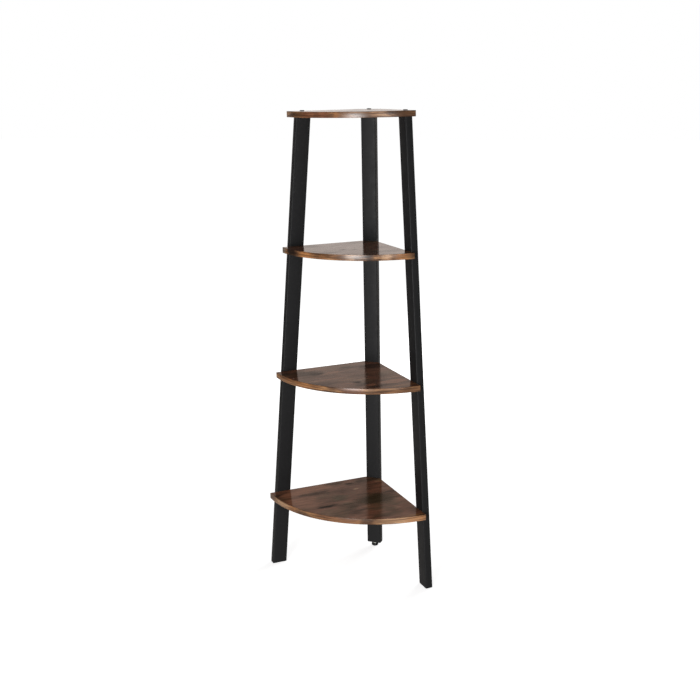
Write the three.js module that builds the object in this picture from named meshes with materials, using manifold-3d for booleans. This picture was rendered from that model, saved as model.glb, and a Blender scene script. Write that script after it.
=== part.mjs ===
// Corner shelf unit: four quarter-round boards on three rectangular steel tube legs.
// Millimetres, +Z up. The room side faces -Y and the origin is on the floor, under the middle of the unit.
// The two walls run at 45 degrees behind it. Their lines meet at the corner point, where the straight
// edges of the lower boards would meet too if the boards weren't cut to stand against the rear leg.
import * as THREE from "three";
import { mergeVertices } from "three/addons/utils/BufferGeometryUtils.js";
import Module from "manifold-3d";

const wasm = await Module();
wasm.setup();

// Heights of the boards' top faces above the floor
const bottomShelfTop = 212.5;
const middleShelfTop = 555;
const upperShelfTop = 892.5;
const topShelfTop = 1240;

// Boards: laminated particle board with an edge band glued to each edge
const boardThickness = 15;
const bandThickness = 1;
const glueLine = 0.1;
const tipOverhang = 19.2; // from a front leg's outer edge to the board's tip

// Legs: rectangular steel tube, the front two leaning in the plane of their wall
const tubeWidth = 40;
const tubeDepth = 20;
const tubeWall = 1.2;
const tubeCornerRadius = 2.5;
const legOffsetAtFloor = 298.5; // along the wall, from the corner point to a front leg's middle
const legOffsetAtTop = 189.1;
const rearCornerMargin = 1.7; // how much wider than the rear leg the boards' cut corner is, each side
const clearance = 0.3; // between parts that are bolted, plugged or screwed together

// Bolted joints: M6 furniture bolts with low round heads, barrel nuts in the lower boards, and nuts welded
// into the legs
const boltRadius = 3;
const boltHoleRadius = 3.5;
const boltHeadRadius = 6;
const boltHeadHeight = 1.8;
const boltRimHeight = 0.7;
const headDomeShares = [[0.88, 0.75], [0.6, 1]]; // of the head's radius and height, from rim to flat top
const endChamfer = 0.8; // on the ends of bolts and of the levelling stud
const boltEndReach = 3; // how far a bolt's end stands out of its nut
const socketWidth = 4; // across the flats of the hexagon socket
const socketDepth = 2.2;
const barrelRadius = 5;
const barrelInset = 30; // from a board's edge to the middle of its barrel nut
const barrelSkin = 2; // board left above a barrel nut, and the nut's depth below the board's underside
const slotWidth = 1.2;
const slotDepth = 1.5;
const weldNutWidth = 10; // across the flats
const weldNutHeight = 5;
const topPlateThickness = 3;

// Feet: plastic caps under the front legs and a levelling glide under the rear one
const capFlange = 2.5;
const plugHeight = 20;
const plugRibHeight = 1.6;
const plugRibDepth = 1.2;
const plugWall = 2.4;
const padRadius = 9.5;
const padHeight = 7;
const padBottomRound = 3;
const padTopChamfer = 0.8;
const studRadius = 4;
const studShoulderRadius = 5.5;
const studShoulderHeight = 3.5;
const studHexWidth = 13; // across the flats
const studHexHeight = 2.5;
const studLength = 30;
const studRaise = 2; // room above the hexagon for turning the foot further in

// Facets
const frontSegments = 40;
const roundSegments = 16; // bolts and stud
const holeSegments = 12; // holes and barrel nuts
const padSegments = 24;
const tubeCornerSegments = 4;
const plugCornerSegments = 2;
const plugRibCount = 3;
const cutOverrun = 2; // how far a cutting shape stands out of what it cuts

// Sizes that follow from those above
const lowerShelves = [
  { name: "upper_shelf", top: upperShelfTop },
  { name: "middle_shelf", top: middleShelfTop },
  { name: "bottom_shelf", top: bottomShelfTop },
];
const legTop = topShelfTop - boardThickness;
const leanSlope = (legOffsetAtFloor - legOffsetAtTop) / legTop;
const leanAngle = Math.atan(leanSlope);
const rearCut = tubeWidth / 2 + rearCornerMargin; // corner point to the rear leg's front face
const rearLegMiddle = tubeDepth / 2 - rearCut;
const footHeight = padHeight + clearance + studHexHeight + studRaise; // floor to the rear leg's insert
const barrelLength = boardThickness - 2 * barrelSkin;
const edgeBoltLength =
  clearance + tubeDepth + clearance + barrelInset + barrelRadius + boltEndReach;
const topBoltLength = boardThickness + topPlateThickness + weldNutHeight + boltEndReach;
const wallAngle = Math.PI / 4;

// Where a front leg's middle is, along its wall, at a height above the floor.
const legOffsetAt = (height) => legOffsetAtFloor - leanSlope * height;

// The front radius of a board whose top face is at this height, so that its tips overhang the legs alike.
const boardRadius = (top) =>
  legOffsetAt(top - boardThickness / 2) + tubeWidth / 2 / Math.cos(leanAngle) + tipOverhang;

const rearReach = tubeDepth - rearCut + clearance + boltHeadHeight; // corner point to the rear bolt heads
const cornerY = (boardRadius(bottomShelfTop) - rearReach) / 2;

// Materials
const finish = (color, roughness, metalness) =>
  new THREE.MeshStandardMaterial({ color, roughness, metalness });
const laminate = finish("#5f4638", 0.42, 0);
const edgeBanding = finish("#966a48", 0.5, 0);
const blackSteel = finish("#232323", 0.5, 0.3);
const blackPlastic = finish("#1a1a1a", 0.55, 0);
const zincSteel = finish("#a9adb0", 0.35, 0.9);
const blackBolt = finish("#1c1c1d", 0.4, 0.7);

// A closed solid for cutting and joining, from any closed three.js geometry.
function solidFrom(geometry) {
  const bare = geometry.clone();
  bare.deleteAttribute("normal");
  bare.deleteAttribute("uv");
  const merged = mergeVertices(bare);
  return new wasm.Manifold(
    new wasm.Mesh({
      numProp: 3,
      vertProperties: merged.attributes.position.array,
      triVerts: new Uint32Array(merged.index.array),
    }),
  );
}

function geometryFrom(solid) {
  const { vertProperties, triVerts } = solid.getMesh();
  const geometry = new THREE.BufferGeometry();
  geometry.setAttribute("position", new THREE.BufferAttribute(vertProperties, 3));
  geometry.setIndex(new THREE.BufferAttribute(triVerts, 1));
  const flat = geometry.toNonIndexed();
  flat.computeVertexNormals();
  return flat;
}

const join = (first, ...others) =>
  geometryFrom(others.reduce((body, other) => body.add(solidFrom(other)), solidFrom(first)));

const cut = (body, ...tools) =>
  geometryFrom(tools.reduce((rest, tool) => rest.subtract(solidFrom(tool)), solidFrom(body)));

function addMesh(group, name, geometry, material, place = new THREE.Vector3()) {
  const mesh = new THREE.Mesh(geometry, material);
  mesh.name = name;
  mesh.position.copy(place);
  group.add(mesh);
  return mesh;
}

// A prism on a plan outline, from one height to another.
function prism(shape, from, to, curveSegments = tubeCornerSegments / 2) {
  const geometry = new THREE.ExtrudeGeometry(shape, {
    depth: to - from,
    bevelEnabled: false,
    curveSegments,
  });
  return geometry.translate(0, 0, from);
}

// A round bar that starts at a point and runs along a direction.
function bar(start, direction, radius, length) {
  const upright = new THREE.CylinderGeometry(radius, radius, length, holeSegments);
  upright.translate(0, length / 2, 0);
  const turn = new THREE.Quaternion().setFromUnitVectors(new THREE.Vector3(0, 1, 0), direction);
  return upright.applyQuaternion(turn).translate(start.x, start.y, start.z);
}

// A hexagonal bar standing on a height, its flats facing +Y and -Y.
function hexBar(acrossFlats, from, to) {
  const acrossCorners = acrossFlats / Math.cos(Math.PI / 6);
  const hexagon = new THREE.CylinderGeometry(acrossCorners / 2, acrossCorners / 2, to - from, 6);
  return hexagon.rotateX(Math.PI / 2).rotateZ(Math.PI / 6).translate(0, 0, (from + to) / 2);
}

function roundedRectangle(width, depth, radius) {
  const x = width / 2 - radius;
  const y = depth / 2 - radius;
  const shape = new THREE.Shape();
  shape.absarc(x, y, radius, 0, Math.PI / 2);
  shape.absarc(-x, y, radius, Math.PI / 2, Math.PI);
  shape.absarc(-x, -y, radius, Math.PI, 1.5 * Math.PI);
  shape.absarc(x, -y, radius, 1.5 * Math.PI, 2 * Math.PI);
  return shape;
}

// The tube's section with its outside taken in by a margin.
const tubeSection = (margin) =>
  roundedRectangle(
    tubeWidth - 2 * margin,
    tubeDepth - 2 * margin,
    Math.max(tubeCornerRadius - margin, tubeCornerRadius / 4),
  );

// A point on the plan: so far along a wall from the corner point, and so far out from the lower boards'
// edge towards the wall. Side 1 is the right wall and side -1 the left one.
const wallPoint = (side, along, outward, height = 0) =>
  new THREE.Vector3(
    side * (along + outward) * Math.cos(wallAngle),
    (outward - along) * Math.sin(wallAngle),
    height,
  );
const wallNormal = (side) => wallPoint(side, 0, 1);
const planPoint = (vector) => new THREE.Vector2(vector.x, vector.y);

// Half the width of the cut corner, where a line this far in front of the corner point meets the edges.
const rearHalfWidth = (cutAt, reach) => cutAt + reach / Math.cos(wallAngle);

// A board's plan: a quarter circle about the corner point, which runs straight on to the wall edges
// where they stand out past that point, and a rear corner cut square to the room.
function boardOutline(radius, reach, cutAt) {
  const bend = Math.asin(Math.min(reach, 0) / radius);
  const half = rearHalfWidth(cutAt, reach);
  const shape = new THREE.Shape().moveTo(-half, -cutAt);
  shape.lineTo(half, -cutAt);
  if (reach > 0) shape.lineTo(...planPoint(wallPoint(1, radius, reach)));
  shape.absarc(0, 0, radius, bend - wallAngle, -bend - 3 * wallAngle, true);
  if (reach > 0) shape.lineTo(...planPoint(wallPoint(-1, radius, reach)));
  shape.closePath();
  return shape;
}

function frontBandOutline(radius, reach) {
  const inner = radius - bandThickness;
  const shape = new THREE.Shape();
  shape.absarc(0, 0, radius, -wallAngle, -3 * wallAngle, true);
  if (reach > 0) {
    shape.lineTo(...planPoint(wallPoint(-1, radius, reach)));
    shape.lineTo(...planPoint(wallPoint(-1, inner, reach)));
  }
  shape.absarc(0, 0, inner, -3 * wallAngle, -wallAngle, false);
  if (reach > 0) {
    shape.lineTo(...planPoint(wallPoint(1, inner, reach)));
    shape.lineTo(...planPoint(wallPoint(1, radius, reach)));
  }
  shape.closePath();
  return shape;
}

function sideBandOutline(side, radius, reach, cutAt) {
  const rear = cutAt + bandThickness + glueLine;
  const inner = reach - bandThickness;
  const end = radius - bandThickness - glueLine;
  return new THREE.Shape([
    new THREE.Vector2(side * rearHalfWidth(rear, reach), -rear),
    planPoint(wallPoint(side, end, reach)),
    planPoint(wallPoint(side, end, inner)),
    new THREE.Vector2(side * rearHalfWidth(rear, inner), -rear),
  ]);
}

function rearBandOutline(reach, cutAt) {
  const inner = cutAt + bandThickness;
  return new THREE.Shape([
    new THREE.Vector2(-rearHalfWidth(cutAt, reach), -cutAt),
    new THREE.Vector2(-rearHalfWidth(inner, reach), -inner),
    new THREE.Vector2(rearHalfWidth(inner, reach), -inner),
    new THREE.Vector2(rearHalfWidth(cutAt, reach), -cutAt),
  ]);
}

// A low-headed bolt along +Z: the underside of its head is at zero and its shank runs down.
function boltGeometry(length) {
  const profile = [
    [0, -length],
    [boltRadius - endChamfer, -length],
    [boltRadius, endChamfer - length],
    [boltRadius, 0],
    [boltHeadRadius, 0],
    [boltHeadRadius, boltRimHeight],
    ...headDomeShares.map(([across, up]) => [boltHeadRadius * across, boltHeadHeight * up]),
    [0, boltHeadHeight],
  ].map(([r, z]) => new THREE.Vector2(r, z));
  const turned = new THREE.LatheGeometry(profile, roundSegments).rotateX(Math.PI / 2);
  const socket = hexBar(socketWidth, boltHeadHeight - socketDepth, boltHeadHeight + cutOverrun);
  return cut(turned, socket);
}

// An upright barrel nut about the bolt's height, its cross hole along Y and a slot under it.
function barrelNutGeometry() {
  const low = -barrelLength / 2;
  const up = new THREE.Vector3(0, 0, 1);
  const body = bar(new THREE.Vector3(0, 0, low), up, barrelRadius, barrelLength);
  const reach = barrelRadius + cutOverrun;
  const hole = bar(
    new THREE.Vector3(0, -reach, 0),
    new THREE.Vector3(0, 1, 0),
    boltRadius + clearance,
    2 * reach,
  );
  const slot = new THREE.BoxGeometry(slotWidth, 2 * reach, 2 * slotDepth);
  return cut(body, hole, slot.translate(0, 0, low));
}

// A tube of the legs' section between two heights, upright about its own middle.
function tubeGeometry(from, to) {
  const section = tubeSection(0);
  section.holes.push(tubeSection(tubeWall));
  return prism(section, from, to);
}

// A plug for a tube's end that starts at a height: a flange below it, and a ribbed, hollow body in it.
function plugGeometry(base) {
  const layer = (margin, from, to) => prism(tubeSection(margin), from, to, plugCornerSegments / 2);
  const inside = tubeWall + clearance;
  const ribs = Array.from({ length: plugRibCount }, (_, i) => {
    const from = base + ((i + 0.5) * plugHeight) / plugRibCount;
    return layer(inside, from, from + plugRibHeight);
  });
  const core = layer(inside + plugRibDepth, base - capFlange / 2, base + plugHeight);
  return join(prism(tubeSection(0), base - capFlange, base), core, ...ribs);
}

const plugHollow = (base) =>
  prism(
    tubeSection(tubeWall + clearance + plugRibDepth + plugWall),
    base,
    base + plugHeight + cutOverrun,
    plugCornerSegments / 2,
  );

// Puts a shape made about an upright tube on the leaning line of a front leg: ends stay level.
function leaned(geometry) {
  const lean = new THREE.Matrix4().set(
    1 / Math.cos(leanAngle), 0, -leanSlope, legOffsetAtFloor,
    0, 1, 0, tubeDepth / 2 + clearance,
    0, 0, 1, 0,
    0, 0, 0, 1,
  );
  return geometry.applyMatrix4(lean);
}

// A board with its edge bands, cut for its bolts. Holes are bars to be cut from all of them.
function addBoard(group, name, top, reach, cutAt, holes) {
  const radius = boardRadius(top);
  const inset = bandThickness + glueLine;
  const arcSegments = frontSegments / 2;
  const layer = (outline) => prism(outline, 0, boardThickness, arcSegments);
  const place = new THREE.Vector3(0, 0, top - boardThickness);
  const core = boardOutline(radius - inset, reach - inset, cutAt + inset);
  const bands = {
    front: frontBandOutline(radius, reach),
    left: sideBandOutline(-1, radius, reach, cutAt),
    right: sideBandOutline(1, radius, reach, cutAt),
    rear: rearBandOutline(reach, cutAt),
  };
  addMesh(group, name, cut(layer(core), ...holes), laminate, place);
  for (const [edge, outline] of Object.entries(bands)) {
    addMesh(group, `${name}_${edge}_band`, cut(layer(outline), ...holes), edgeBanding, place);
  }
}

// The holes of a lower board: from each leg a bolt hole into the edge, and a barrel nut's hole from below.
function lowerBoardHoles(top) {
  const middle = boardThickness / 2;
  const along = legOffsetAt(top - middle);
  const depth = barrelInset + barrelRadius + boltEndReach + cutOverrun;
  const joints = [-1, 1].map((side) => ({
    edge: wallPoint(side, along, 0, middle),
    outward: wallNormal(side),
  }));
  joints.push({
    edge: new THREE.Vector3(0, -rearCut - clearance, middle),
    outward: new THREE.Vector3(0, 1, 0),
  });
  return joints.flatMap(({ edge, outward }) => {
    const inward = outward.clone().negate();
    const start = edge.clone().addScaledVector(outward, cutOverrun);
    const nut = edge.clone().addScaledVector(inward, barrelInset).setZ(-cutOverrun);
    const nutTop = boardThickness - barrelSkin + clearance;
    return [
      bar(start, inward, boltHoleRadius, cutOverrun + depth),
      bar(nut, new THREE.Vector3(0, 0, 1), barrelRadius + clearance, nutTop + cutOverrun),
    ];
  });
}

// The top board lies on the legs, so its edges reach over them to the wall and it has upright holes.
function topBoardHoles() {
  const places = [-1, 1].map((side) => wallPoint(side, legOffsetAt(legTop), clearance + tubeDepth / 2));
  places.push(new THREE.Vector3(0, rearLegMiddle, 0));
  const length = boardThickness + 2 * cutOverrun;
  return places.map((place) =>
    bar(place.setZ(-cutOverrun), new THREE.Vector3(0, 0, 1), boltHoleRadius, length),
  );
}

// A leg's upper end: a threaded plate let into the tube, its welded nut, and the bolt from above.
function addTopFastening(group, legName, place, shaped) {
  const hole = bar(
    new THREE.Vector3(place.x, place.y, legTop - topPlateThickness - cutOverrun),
    new THREE.Vector3(0, 0, 1),
    boltRadius + clearance,
    topPlateThickness + 2 * cutOverrun,
  );
  const plate = shaped(prism(tubeSection(tubeWall + clearance), legTop - topPlateThickness, legTop));
  addMesh(group, `${legName}_leg_top_plate`, cut(plate, hole), blackSteel);
  const nutTop = legTop - topPlateThickness;
  const nut = hexBar(weldNutWidth, nutTop - weldNutHeight, nutTop).translate(place.x, place.y, 0);
  const thread = bar(
    new THREE.Vector3(place.x, place.y, nutTop - weldNutHeight - cutOverrun),
    new THREE.Vector3(0, 0, 1),
    boltRadius + clearance,
    weldNutHeight + 2 * cutOverrun,
  );
  addMesh(group, `${legName}_leg_weld_nut`, cut(nut, thread), zincSteel);
  const head = new THREE.Vector3(place.x, place.y, topShelfTop);
  addMesh(group, `top_shelf_${legName}_bolt`, boltGeometry(topBoltLength), blackBolt, head);
}

// The bolts from the wall side through a leg into the lower boards, and their barrel nuts.
// The leg's outer face is at this Y, and offsetAt gives its middle at a height.
function addEdgeFastenings(group, legName, outerFace, offsetAt) {
  for (const shelf of lowerShelves) {
    const height = shelf.top - boardThickness / 2;
    const head = new THREE.Vector3(offsetAt(height), outerFace + clearance, height);
    const bolt = boltGeometry(edgeBoltLength);
    addMesh(group, `${shelf.name}_${legName}_bolt`, bolt, blackBolt, head).rotation.x = -Math.PI / 2;
    const nutY = outerFace - tubeDepth - clearance - barrelInset;
    const nut = new THREE.Vector3(offsetAt(height), nutY, height);
    addMesh(group, `${shelf.name}_${legName}_barrel_nut`, barrelNutGeometry(), zincSteel, nut);
  }
}

// Bars that cut a leg's bolt holes through both of its wide walls.
const legBoltHoles = (outerFace, offsetAt) =>
  lowerShelves.map(({ top }) => {
    const height = top - boardThickness / 2;
    const start = new THREE.Vector3(offsetAt(height), outerFace + cutOverrun, height);
    return bar(start, new THREE.Vector3(0, -1, 0), boltHoleRadius, tubeDepth + 2 * cutOverrun);
  });

// A front leg in the frame of its wall: X runs along the wall from the corner point, and Y out towards it.
function frontLeg(legName) {
  const group = new THREE.Group();
  const outerFace = clearance + tubeDepth;
  const tube = leaned(tubeGeometry(capFlange, legTop));
  const leg = cut(tube, ...legBoltHoles(outerFace, legOffsetAt));
  addMesh(group, `${legName}_leg`, leg, blackSteel);
  const cap = cut(plugGeometry(capFlange), plugHollow(capFlange));
  addMesh(group, `${legName}_leg_foot_cap`, leaned(cap), blackPlastic);
  const top = new THREE.Vector3(legOffsetAt(legTop), clearance + tubeDepth / 2, 0);
  addTopFastening(group, legName, top, leaned);
  addEdgeFastenings(group, legName, outerFace, legOffsetAt);
  group.rotation.z = -wallAngle;
  return group;
}

// The rear leg stands upright behind the boards' cut corners, wide side to the room, on a levelling foot.
function rearLeg() {
  const group = new THREE.Group();
  const middle = new THREE.Vector3(0, rearLegMiddle, 0);
  const centred = (geometry) => geometry.translate(0, rearLegMiddle, 0);
  const outerFace = rearLegMiddle + tubeDepth / 2;
  const offsetAt = () => 0;
  const base = footHeight + capFlange;
  const tube = centred(tubeGeometry(base, legTop));
  addMesh(group, "rear_leg", cut(tube, ...legBoltHoles(outerFace, offsetAt)), blackSteel);
  const thread = bar(
    new THREE.Vector3(0, 0, footHeight - cutOverrun),
    new THREE.Vector3(0, 0, 1),
    studRadius + clearance,
    capFlange + plugHeight + 2 * cutOverrun,
  );
  addMesh(group, "rear_leg_foot_insert", cut(plugGeometry(base), thread), blackPlastic, middle);
  addTopFastening(group, "rear", middle, centred);
  addEdgeFastenings(group, "rear", outerFace, offsetAt);
  addMesh(group, "rear_foot_stud", studGeometry(), zincSteel, middle);
  addMesh(group, "rear_foot_pad", padGeometry(), blackPlastic, middle);
  return group;
}

// The levelling stud: a round shoulder held in the pad, a hexagon to turn it by, and the threaded rod.
function studGeometry() {
  const floor = padHeight - studShoulderHeight + clearance;
  const hexFrom = padHeight + clearance;
  const hexTo = hexFrom + studHexHeight;
  const profile = [
    [0, floor],
    [studShoulderRadius - endChamfer, floor],
    [studShoulderRadius, floor + endChamfer],
    [studShoulderRadius, hexTo],
    [studRadius, hexTo],
    [studRadius, hexTo + studLength - endChamfer],
    [studRadius - endChamfer, hexTo + studLength],
    [0, hexTo + studLength],
  ].map(([r, z]) => new THREE.Vector2(r, z));
  const turned = new THREE.LatheGeometry(profile, roundSegments).rotateX(Math.PI / 2);
  return join(turned, hexBar(studHexWidth, hexFrom, hexTo));
}

// The foot's pad: flat underneath, its lower edge well rounded, with a round socket for the stud.
function padGeometry() {
  const socket = studShoulderRadius + clearance;
  const profile = new THREE.Path().moveTo(0, 0);
  profile.lineTo(padRadius - padBottomRound, 0);
  profile.absarc(padRadius - padBottomRound, padBottomRound, padBottomRound, -Math.PI / 2, 0);
  profile.lineTo(padRadius, padHeight - padTopChamfer);
  profile.lineTo(padRadius - padTopChamfer, padHeight);
  profile.lineTo(socket, padHeight);
  profile.lineTo(socket, padHeight - studShoulderHeight);
  profile.lineTo(0, padHeight - studShoulderHeight);
  const points = profile.getPoints(tubeCornerSegments / 2);
  return new THREE.LatheGeometry(points, padSegments).rotateX(Math.PI / 2);
}

const corner = new THREE.Group();
corner.position.y = cornerY;

for (const { name, top } of lowerShelves) {
  addBoard(corner, name, top, 0, rearCut + clearance, lowerBoardHoles(top));
}
addBoard(corner, "top_shelf", topShelfTop, clearance + tubeDepth, rearCut - tubeDepth, topBoardHoles());

const leftHalf = new THREE.Group();
leftHalf.scale.x = -1;
leftHalf.add(frontLeg("left"));
corner.add(leftHalf, frontLeg("right"), rearLeg());

const unit = new THREE.Group();
unit.add(corner);

export default unit;
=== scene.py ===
import bmesh
import bpy
import math
from mathutils import Matrix, Vector


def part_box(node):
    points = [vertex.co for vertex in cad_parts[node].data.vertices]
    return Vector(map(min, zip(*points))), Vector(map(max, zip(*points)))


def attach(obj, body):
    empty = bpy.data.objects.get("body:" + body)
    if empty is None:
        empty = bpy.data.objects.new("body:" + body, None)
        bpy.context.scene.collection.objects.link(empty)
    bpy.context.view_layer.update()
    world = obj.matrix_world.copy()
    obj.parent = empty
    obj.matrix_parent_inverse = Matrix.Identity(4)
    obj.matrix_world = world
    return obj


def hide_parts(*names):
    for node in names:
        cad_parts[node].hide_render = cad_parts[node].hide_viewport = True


# Corner shelf unit: four quarter-round melamine boards on three black steel tube legs.
# Metres, +Z up. The room is on the -Y side, and the two walls run at 45 degrees behind the unit.

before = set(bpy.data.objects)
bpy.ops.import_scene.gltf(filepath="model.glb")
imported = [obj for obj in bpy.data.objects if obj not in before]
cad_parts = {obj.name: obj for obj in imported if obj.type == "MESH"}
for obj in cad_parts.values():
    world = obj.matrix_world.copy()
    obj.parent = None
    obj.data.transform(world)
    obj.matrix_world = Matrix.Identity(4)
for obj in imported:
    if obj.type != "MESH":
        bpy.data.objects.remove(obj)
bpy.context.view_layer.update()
print("frame loaded with", len(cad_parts), "nodes")

mm = 0.001
up = Vector((0, 0, 1))
lowerShelves = {"bottomShelf": "bottom_shelf", "middleShelf": "middle_shelf", "upperShelf": "upper_shelf"}
shelves = {**lowerShelves, "topShelf": "top_shelf"}
legs = ["left", "right", "rear"]

# Where the boards' two wall edges would meet, if their rear corners weren't cut off
bandLow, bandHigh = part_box("bottom_shelf_front_band")
cornerY = bandLow.y + math.sqrt(2) * bandHigh.x
corner = Vector((0, cornerY, 0))

# Ways out of a board through its edge, towards each leg, and along the two walls away from the corner
outward = {
    "left": Vector((-1, 1, 0)).normalized(),
    "right": Vector((1, 1, 0)).normalized(),
    "rear": Vector((0, 1, 0)),
}
wallWay = {"left": Vector((-1, -1, 0)).normalized(), "right": Vector((1, -1, 0)).normalized()}


def nodeMiddle(node):
    low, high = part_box(node)
    return (low + high) / 2


# The camera stands at the photographer's place. Its angles and lens were fitted to the unit's own edges.
camera = {
    "turnAroundUnit": 20.997,  # degrees to the right of straight in front
    "distance": 2.86866,  # level, from the corner point
    "height": 1.314443,
    "heading": 22.327,
    "downward": 14.281,
    "roll": -1.109,
    "focalPixels": 1060.119,
    "imagePixels": 700,
    "sensor": 36,
}


def placeCamera():
    turn = math.radians(camera["turnAroundUnit"])
    away = Vector((math.sin(turn), -math.cos(turn), 0)) * camera["distance"]
    bpy.ops.object.camera_add()
    eye = bpy.context.object
    eye.name = "camera"
    eye.data.sensor_width = camera["sensor"]
    eye.data.lens = camera["focalPixels"] / camera["imagePixels"] * camera["sensor"]
    eye.matrix_world = (
        Matrix.Translation(corner + away + up * camera["height"])
        @ Matrix.Rotation(math.radians(camera["heading"]), 4, "Z")
        @ Matrix.Rotation(math.radians(90 - camera["downward"]), 4, "X")
        @ Matrix.Rotation(math.radians(camera["roll"]), 4, "Z")
    )
    bpy.context.scene.camera = eye


placeCamera()
print("camera placed")


# Lengths that count as none, and how far off in line or square a direction may be
tolerance = {"touching": 0.01 * mm, "welding": 0.002 * mm, "sawing": 0.0001 * mm, "straight": 0.01}
flatAngle = 0.1  # degrees, below which two faces are one
smoothAngle = 35  # degrees, past which an edge stays sharp
drillSides = 48


def near(one, other):
    return abs(one - other) < tolerance["touching"]


# How a direction lies to another
def looksTo(way, axis):
    return way.dot(axis) > 1 - tolerance["straight"]


def runsAlong(way, axis):
    return abs(way.dot(axis)) > 1 - tolerance["straight"]


def runsAcross(way, axis):
    return abs(way.dot(axis)) < tolerance["straight"]


# Leaves edit mode and lets go of everything.
def letGo():
    if bpy.context.mode != "OBJECT":
        bpy.ops.object.mode_set(mode="OBJECT")
    bpy.ops.object.select_all(action="DESELECT")


# Makes one piece the selected one.
def hold(piece):
    letGo()
    piece.select_set(True)
    bpy.context.view_layer.objects.active = piece


def edit(piece):
    hold(piece)
    bpy.ops.object.mode_set(mode="EDIT")


# Names the primitive that was just added, and puts its place, turn and size into its mesh.
def settle(name):
    piece = bpy.context.object
    piece.name = name
    piece.data.name = name
    bpy.ops.object.transform_apply(location=True, rotation=True, scale=True)
    return piece


# In edit mode, selects what passes the test and nothing else. The test gets each part's middle and its way:
# a face's normal, or an edge's direction.
def pick(piece, kind, test):
    bpy.ops.mesh.select_mode(type=kind)
    bpy.ops.mesh.select_all(action="DESELECT")
    mesh = bmesh.from_edit_mesh(piece.data)
    if kind == "FACE":
        passing = [face for face in mesh.faces if test(face.calc_center_median(), face.normal)]
    else:
        passing = []
        for edge in mesh.edges:
            start, end = edge.verts[0].co, edge.verts[1].co
            if test((start + end) / 2, (end - start).normalized()):
                passing.append(edge)
    for part in passing:
        part.select_set(True)
    mesh.select_flush_mode()
    bmesh.update_edit_mesh(piece.data)


def extrude(move):
    bpy.ops.mesh.extrude_region_move(TRANSFORM_OT_translate={"value": move})


# Cuts off what lies past a plane, in edit mode.
def sawOff(point, past, fill=False):
    bpy.ops.mesh.select_all(action="SELECT")
    bpy.ops.mesh.bisect(plane_co=point, plane_no=past, use_fill=fill, clear_outer=True,
                        threshold=tolerance["sawing"])


def turnFacesOut(piece):
    edit(piece)
    bpy.ops.mesh.select_all(action="SELECT")
    bpy.ops.mesh.remove_doubles(threshold=tolerance["welding"])
    bpy.ops.mesh.normals_make_consistent(inside=False)
    letGo()


def applyModifier(piece, kind, **settings):
    hold(piece)
    modifier = piece.modifiers.new("shaping", kind)
    for setting, value in settings.items():
        setattr(modifier, setting, value)
    bpy.ops.object.modifier_apply(modifier=modifier.name)


# Cuts a tool's shape out of a piece, or joins it on.
def combine(piece, tool, operation="DIFFERENCE"):
    applyModifier(piece, "BOOLEAN", object=tool, operation=operation, solver="EXACT")
    bpy.data.objects.remove(tool)


# A round bar from a point along a direction, to drill with.
def drillBar(start, way, radius, length):
    bpy.ops.mesh.primitive_cylinder_add(
        vertices=drillSides, radius=radius, depth=length, calc_uvs=False,
        location=start + way * length / 2, rotation=up.rotation_difference(way).to_euler())
    return settle("drill")


def duplicate(piece, name, place):
    hold(piece)
    bpy.ops.object.duplicate()
    twin = bpy.context.object
    twin.name = name
    twin.data.name = name
    twin.data.transform(place)
    if place.determinant() < 0:
        turnFacesOut(twin)
    return twin


# A finished piece: smooth where it is round, in its finish, on its body and in place of its CAD nodes.
def finish(piece, body, slotName, finishes, *nodes):
    hold(piece)
    bpy.ops.object.shade_smooth_by_angle(angle=math.radians(smoothAngle))
    for material in finishes:
        piece.data.materials.append(material)
    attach(piece, body)
    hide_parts(*nodes)
    letGo()


# From a wall's own frame, X along it from the corner and Y out towards it, to the part's frame
rightWall = Matrix.Translation(corner) @ Matrix.Rotation(math.radians(-45), 4, "Z")
leftWall = Matrix.Scale(-1, 4, Vector((1, 0, 0))) @ rightWall
wallFrames = {"left": leftWall, "right": rightWall}


# Rectangular steel tube, 40 x 20 x 1.2 mm. The front legs lean in the plane of their wall.
tube = {
    "width": 40 * mm,
    "depth": 20 * mm,
    "wall": 1.2 * mm,
    "cornerRadius": 2.5 * mm,
    "cornerSteps": 6,
    "sawAllowance": 30 * mm,  # cut off each end
    "gap": 0.3 * mm,  # between a leg and the boards' edges, and under a bolt's head
    "holeRadius": 3.5 * mm,
}
wallToMiddle = tube["gap"] + tube["depth"] / 2  # from the boards' edges to a front leg's middle

# A front leg's middle, measured along its wall from the corner, and how it draws in towards the top
lowJoint, highJoint = nodeMiddle("bottom_shelf_right_bolt"), nodeMiddle("upper_shelf_right_bolt")
lowAlong = (lowJoint - corner).dot(wallWay["right"])
highAlong = (highJoint - corner).dot(wallWay["right"])
legSlope = (lowAlong - highAlong) / (highJoint.z - lowJoint.z)


def legAlong(height):
    return lowAlong - legSlope * (height - lowJoint.z)


# Where a board's bolt passes its edge, level with the leg's middle
def edgeJoint(leg, shelf):
    height = nodeMiddle(f"{shelf}_{leg}_bolt").z
    if leg == "rear":
        return Vector((0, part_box(f"{shelf}_rear_band")[1].y, height))
    return corner + wallWay[leg] * legAlong(height) + up * height


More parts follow.
